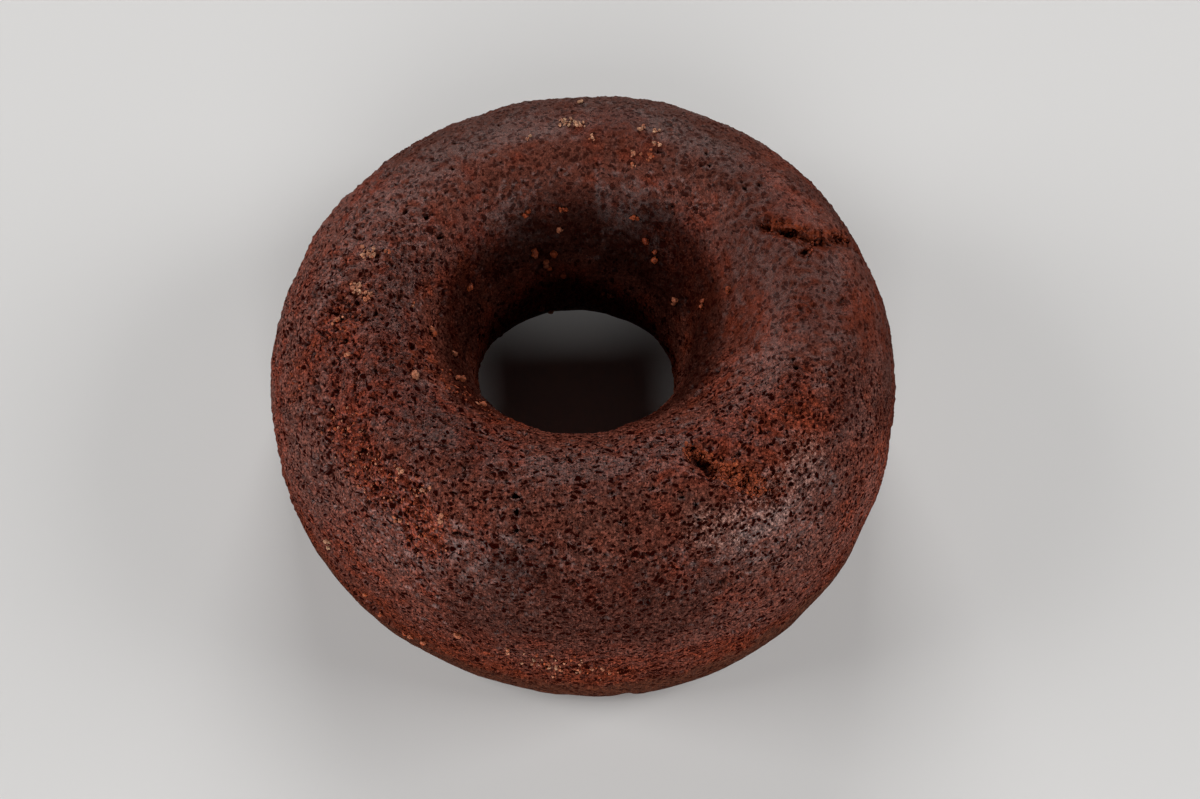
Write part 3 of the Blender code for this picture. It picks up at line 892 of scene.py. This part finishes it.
def makeCrumbMaterial():
    material, shader = newMaterial("chocolateCrumb")
    tree = material.node_tree
    pores, sheen = crumbFinish["pores"], crumbFinish["sheen"]
    place = readValue(tree, "crumbPlace", "Vector")
    shadeDarkening, firm, footSkin = [readValue(tree, name) for name in ("shadeDarkening", "firm", "footSkin")]
    grain = addGrain(tree, place, between(tree, shadeDarkening, pores["share"], pores["shadeDarkening"]))
    # the skin of the foot is smooth, and the back and right are smoother than the front
    grainy = times(tree, between(tree, footSkin, 1.0, crumbFinish["footGrain"]),
                   between(tree, firm, crumbFinish["softGrain"], 1.0))
    paintedShade, hole = darkPlaces(tree, place, grain, grainy)
    # a grain keeps its skin more or less as the crust round it does
    spotty = between(tree, grain["Shade"], -crumbFinish["spotty"], crumbFinish["spotty"])
    kept = ramped(tree, plus(tree, readValue(tree, "skin"), spotty), 0.0, 1.0)
    uneven = minus(tree, between(tree, grain["Shade"], *crumbFinish["shade"]), 1.0)
    # painted shade from the zones and at the foot darkens the colour
    unshaded = minus(tree, 1.0, shadeDarkening)
    shade = times(tree, plus(tree, 1.0, times(tree, uneven, grainy)), unshaded)
    color = scaled(tree, crumbColor(tree, grain, kept, footSkin), shade)
    # painted shade in pits, crevices, slits and gaps
    put(tree, shader.inputs["Base Color"], blended(tree, paintedShade, color, crumbFinish["pitShade"]))
    # the greasy skin shines softly, and less where painted shade darkens it or it is broken
    greasy = ramped(tree, kept, 0.0, 1.0, sheen["crumb"], sheen["skin"])
    greasy = times(tree, times(tree, greasy, between(tree, footSkin, 1.0, sheen["foot"])), unshaded)
    put(tree, shader.inputs["Coat Weight"], times(tree, greasy, minus(tree, 1.0, paintedShade)))
    shader.inputs["Coat Roughness"].default_value = sheen["roughness"]
    shader.inputs["Roughness"].default_value = crumbFinish["roughness"]
    shader.inputs["Specular IOR Level"].default_value = crumbFinish["specular"]
    pinDepth = times(tree, hole, crumbFinish["pinholes"]["depth"])
    addBump(tree, shader, minus(tree, grain["Height"], pinDepth))
    return material


grainGroup = makeGrainGroup()
body = makeCakeBody()
body.data.materials.clear()
body.data.materials.append(makeCrumbMaterial())
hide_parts("ring_cake")
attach(body, "root")
print("cake body made")

# crumbs and grains that stand on the crust

looseGrains = {
    "size": (0.00030, 0.00065),     # half of a grain's width
    "seed": 7,
    "sunk": 0.60,                   # the part of a grain that is in the crust
    "ragged": 0.75,                 # how far a noise moves its surface, in half widths
    "bump": 0.0009,                 # the size of that noise
    "margin": 0.0002,               # how far inside the cake's box they stay
    "reach": 1.4,                   # how far a ragged grain goes, in half widths
    "squash": (0.70, 1.20),         # it is this much narrower or wider than a ball
    "edge": (0.50, 1.15),           # they thin out between these parts of a line's half width
}

paleCrumbs = {
    # angle, radius, height, half width and tone
    "backTop": ((87.6, 0.0883, 0.0801, 0.0010, 1.00), (92.3, 0.0763, 0.0826, 0.0014, 0.95),
                (90.4, 0.0755, 0.0828, 0.0013, 0.90), (88.2, 0.0744, 0.0829, 0.0016, 0.95),
                (102.6, 0.0708, 0.0826, 0.0008, 0.85), (83.8, 0.0684, 0.0829, 0.0009, 0.80)),
    "backRight": ((70.6, 0.0748, 0.0851, 0.0010, 0.85), (66.2, 0.0742, 0.0853, 0.0010, 0.90),
                  (65.2, 0.0691, 0.0848, 0.0009, 0.85), (65.2, 0.0646, 0.0826, 0.0014, 0.65),
                  (70.7, 0.0645, 0.0819, 0.0009, 0.80), (69.8, 0.0614, 0.0798, 0.0008, 0.75)),
    "left": ((164.3, 0.0732, 0.0805, 0.0015, 0.80), (163.2, 0.0712, 0.0807, 0.0013, 0.78),
             (161.4, 0.0661, 0.0804, 0.0011, 0.75), (175.1, 0.0724, 0.0791, 0.0019, 0.85),
             (177.3, 0.0692, 0.0795, 0.0015, 0.80), (176.3, 0.0541, 0.0739, 0.0011, 0.75),
             (-176.0, 0.0788, 0.0790, 0.0012, 0.70), (-164.4, 0.0771, 0.0801, 0.0011, 0.75)),
    "hole": ((96.5, 0.0459, 0.0581, 0.0010, 0.75), (109.5, 0.0432, 0.0526, 0.0014, 0.62),
             (103.8, 0.0417, 0.0469, 0.0009, 0.65), (100.3, 0.0427, 0.0502, 0.0008, 0.60),
             (97.2, 0.0398, 0.0403, 0.0013, 0.62), (70.4, 0.0383, 0.0330, 0.0014, 0.75),
             (108.3, 0.0505, 0.0674, 0.0008, 0.50), (94.5, 0.0498, 0.0660, 0.0009, 0.50),
             (62.9, 0.0495, 0.0667, 0.0011, 0.55), (50.6, 0.0441, 0.0575, 0.0012, 0.52),
             (56.2, 0.0460, 0.0614, 0.0008, 0.48), (109.2, 0.0391, 0.0256, 0.0010, 0.75),
             (103.3, 0.0424, 0.0171, 0.0008, 0.75), (6.8, 0.0517, 0.0735, 0.0010, 0.55),
             (148.0, 0.0438, 0.0576, 0.0009, 0.50), (27.4, 0.0400, 0.0509, 0.0010, 0.65),
             (11.1, 0.0439, 0.0616, 0.0010, 0.60), (-176.6, 0.0488, 0.0677, 0.0009, 0.70),
             (-172.3, 0.0423, 0.0566, 0.0009, 0.65), (-152.8, 0.0449, 0.0647, 0.0012, 0.75),
             (-151.7, 0.0591, 0.0783, 0.0009, 0.80), (-134.0, 0.0448, 0.0658, 0.0015, 0.70)),
    "picked": ((-123.9, 0.0851, 0.0793, 0.0011, 0.85), (-118.3, 0.0905, 0.0768, 0.0010, 0.85),
               (-131.0, 0.0842, 0.0798, 0.0010, 0.80), (-127.2, 0.0949, 0.0699, 0.0009, 0.80),
               (-141.7, 0.1062, 0.0376, 0.0010, 0.95)),
    "foot": ((-132.4, 0.1072, 0.0260, 0.0010, 0.65), (-129.2, 0.1073, 0.0203, 0.0011, 0.65),
             (-123.5, 0.1071, 0.0156, 0.0012, 0.65), (-120.4, 0.1073, 0.0168, 0.0011, 0.60),
             (-112.3, 0.1073, 0.0360, 0.0008, 0.70), (-103.2, 0.1082, 0.0376, 0.0008, 0.75)),
}

crumbGrains = {                 # each pale crumb is a few grains that hold together
    "seed": 11,
    "count": 6,                 # in one of the width below, and more in a wider one
    "least": 3,
    "width": 0.0010,
    "size": (0.00035, 0.00070),
    "coarse": {"hole": 1.9, "foot": 1.4, "picked": 1.3},    # times that size
    "spread": 0.75,
    "lift": 0.5,                # how far a grain stands out, in half widths
    "toneRange": (-0.15, 0.08),
}

crumbDust = {                   # fine pale crumbs in the crease at the front
    "line": ((-97.0, 0.1093, 0.0330), (-93.5, 0.1098, 0.0300), (-89.2, 0.1105, 0.0285)),
    "halfWidth": 0.0085,
    "count": 70,
    "size": (0.00028, 0.00060),
    "tone": (0.55, 0.95),
    "lift": 0.3,
}

looseFinish = {
    "colors": (                 # tone, then colour
        (0.00, (0.060, 0.012, 0.005)), (0.35, (0.200, 0.034, 0.012)), (0.60, (0.345, 0.070, 0.023)),
        (0.80, (0.400, 0.165, 0.095)), (1.00, (0.500, 0.290, 0.175)),
    ),
    "pores": 0.20,
    "shade": (0.75, 1.25),      # each grain is this much darker or paler
    "gapDark": 0.5,             # how dark the painted shade in the gaps of its surface is
    "roughness": 0.85,
    "coat": 0.25,
    "coatRoughness": 0.45,
}


def spotsOn(mesh, line, halfWidth, count, chance):
    # random places near a line, with the normals there
    mesh.calc_loop_triangles()
    corners = np.empty(len(mesh.loop_triangles) * 3, np.int32)
    mesh.loop_triangles.foreach_get("vertices", corners)
    corners = readPlaces(mesh)[corners.reshape(-1, 3)]
    across = np.cross(corners[:, 1] - corners[:, 0], corners[:, 2] - corners[:, 0])
    weight = np.linalg.norm(across, axis=1)
    normals = across / np.maximum(weight, 1e-12)[:, None]
    middles = corners.mean(axis=1)
    fadeFrom, fadeTo = [halfWidth * part for part in looseGrains["edge"]]
    weight = weight * (1 - smoothStep(distanceToLine(middles, line), fadeFrom, fadeTo))
    chosen = chance.choice(len(middles), count, p=weight / weight.sum())
    shares = chance.dirichlet((1, 1, 1), count)
    return np.einsum("ij,ijk->ik", shares, corners[chosen]), normals[chosen]


def makeScatter(name, subdivisions):
    # puts a ragged ball of the right size at each point
    tree, start = startGeometry(name)
    points = tree.nodes.new("GeometryNodeMeshToPoints")
    put(tree, points.inputs["Mesh"], start)
    ball = tree.nodes.new("GeometryNodeMeshIcoSphere")
    ball.inputs["Radius"].default_value = 1.0
    ball.inputs["Subdivisions"].default_value = subdivisions
    size = readNamed(tree, "size")
    randoms = []
    for low, high in ((0.0, math.tau), looseGrains["squash"]):
        node = tree.nodes.new("FunctionNodeRandomValue")
        node.data_type = "FLOAT_VECTOR"
        node.inputs["Min"].default_value = (low, low, low)
        node.inputs["Max"].default_value = (high, high, high)
        node.inputs["Seed"].default_value = len(randoms)
        randoms.append(node.outputs[0])
    turned, squashed = randoms
    place = tree.nodes.new("GeometryNodeInstanceOnPoints")
    put(tree, place.inputs["Points"], points.outputs[0])
    put(tree, place.inputs["Instance"], ball.outputs[0])
    put(tree, place.inputs["Rotation"], turned)
    put(tree, place.inputs["Scale"], scaled(tree, squashed, size))
    real = tree.nodes.new("GeometryNodeRealizeInstances")
    put(tree, real.inputs[0], place.outputs[0])
    position = tree.nodes.new("GeometryNodeInputPosition").outputs[0]
    noisy = cloud(tree, position, looseGrains["bump"], plainNoise)[1]
    bumpy = vectorMaths(tree, "SUBTRACT", noisy, (noiseMiddle,) * 3)
    reach = times(tree, size, 2 * looseGrains["ragged"])
    endGeometry(tree, real.outputs[0], scaled(tree, bumpy, reach))
    return tree


def makeGrains(name, spots, subdivisions):
    # spots: place, half width and tone of each grain
    places, sizes, tones = spots
    half = sizes[:, None] * looseGrains["reach"] + looseGrains["margin"]
    low, high = np.array(cadBox[0]), np.array(cadBox[1])
    inside = ((places - half > low) & (places + half < high)).all(axis=1)
    mesh = bpy.data.meshes.new(name)
    mesh.from_pydata(places[inside].tolist(), [], [])
    setValues(mesh, "size", sizes[inside])
    setValues(mesh, "tone", tones[inside])
    piece = bpy.data.objects.new(name, mesh)
    bpy.context.scene.collection.objects.link(piece)
    scatter = piece.modifiers.new("scatter", "NODES")
    scatter.node_group = makeScatter(name, subdivisions)
    made = finished(piece)
    made.name = name
    made.shade_smooth()
    made.materials.clear()
    made.materials.append(looseMaterial)
    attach(piece, "root")
    print(name, "faces", len(made.polygons))


def spreadGrains(mesh):
    chance = np.random.default_rng(looseGrains["seed"])
    places, sizes, tones = [], [], []
    for mark in marks.values():
        spots, normals = spotsOn(mesh, mark["line"], mark["halfWidth"], mark["grains"], chance)
        size = chance.uniform(*looseGrains["size"], mark["grains"])
        places.append(spots + normals * (size * (1 - 2 * looseGrains["sunk"]))[:, None])
        sizes.append(size)
        tones.append(chance.uniform(*mark["tone"], mark["grains"]))
    return np.concatenate(places), np.concatenate(sizes), np.concatenate(tones)


def spreadPaleCrumbs(piece):
    chance = np.random.default_rng(crumbGrains["seed"])
    places, sizes, tones = [], [], []
    for group, crumbs in paleCrumbs.items():
        coarse = crumbGrains["coarse"].get(group, 1.0)
        for angle, radius, height, width, tone in crumbs:
            spot, normal = piece.closest_point_on_mesh(Vector(spotPlace(angle, radius, height)))[1:3]
            share = (width / crumbGrains["width"] / coarse) ** 2
            count = max(crumbGrains["least"], round(crumbGrains["count"] * share))
            for shift in chance.normal(0.0, crumbGrains["spread"] * width, (count, 3)):
                flat = Vector(shift) - normal * normal.dot(Vector(shift))
                size = coarse * chance.uniform(*crumbGrains["size"])
                places.append(spot + flat + normal * crumbGrains["lift"] * size)
                sizes.append(size)
                tones.append(tone + chance.uniform(*crumbGrains["toneRange"]))
    count = crumbDust["count"]
    spots, normals = spotsOn(piece.data, crumbDust["line"], crumbDust["halfWidth"], count, chance)
    size = chance.uniform(*crumbDust["size"], count)
    tone = chance.uniform(*crumbDust["tone"], count)
    places += list(spots + normals * crumbDust["lift"] * size[:, None])
    return np.array(places), np.append(sizes, size), np.append(tones, tone)


def makeLooseMaterial():
    material, shader = newMaterial("looseCrumb")
    tree = material.node_tree
    place = tree.nodes.new("ShaderNodeTexCoord").outputs["Object"]
    grain = addGrain(tree, place, looseFinish["pores"])
    ramp = tree.nodes.new("ShaderNodeValToRGB")
    stops = ramp.color_ramp.elements
    for number, (tone, color) in enumerate(looseFinish["colors"]):
        stop = stops[number] if number < len(stops) else stops.new(tone)
        stop.position = tone
        stop.color = (*color, 1.0)
    put(tree, ramp.inputs[0], readValue(tree, "tone"))
    shade = between(tree, grain["Shade"], *looseFinish["shade"])
    color = scaled(tree, ramp.outputs["Color"], shade)
    # painted shade in the gaps of its surface
    paintedShade = times(tree, grain["GapShade"], looseFinish["gapDark"])
    put(tree, shader.inputs["Base Color"], blended(tree, paintedShade, color, crumbFinish["pitShade"]))
    shader.inputs["Coat Weight"].default_value = looseFinish["coat"]
    shader.inputs["Coat Roughness"].default_value = looseFinish["coatRoughness"]
    shader.inputs["Roughness"].default_value = looseFinish["roughness"]
    shader.inputs["Specular IOR Level"].default_value = crumbFinish["specular"]
    addBump(tree, shader, grain["Height"])
    return material


looseMaterial = makeLooseMaterial()
makeGrains("looseGrains", spreadGrains(body.data), 1)
makeGrains("paleCrumbs", spreadPaleCrumbs(body), 2)
print("crumbs made")
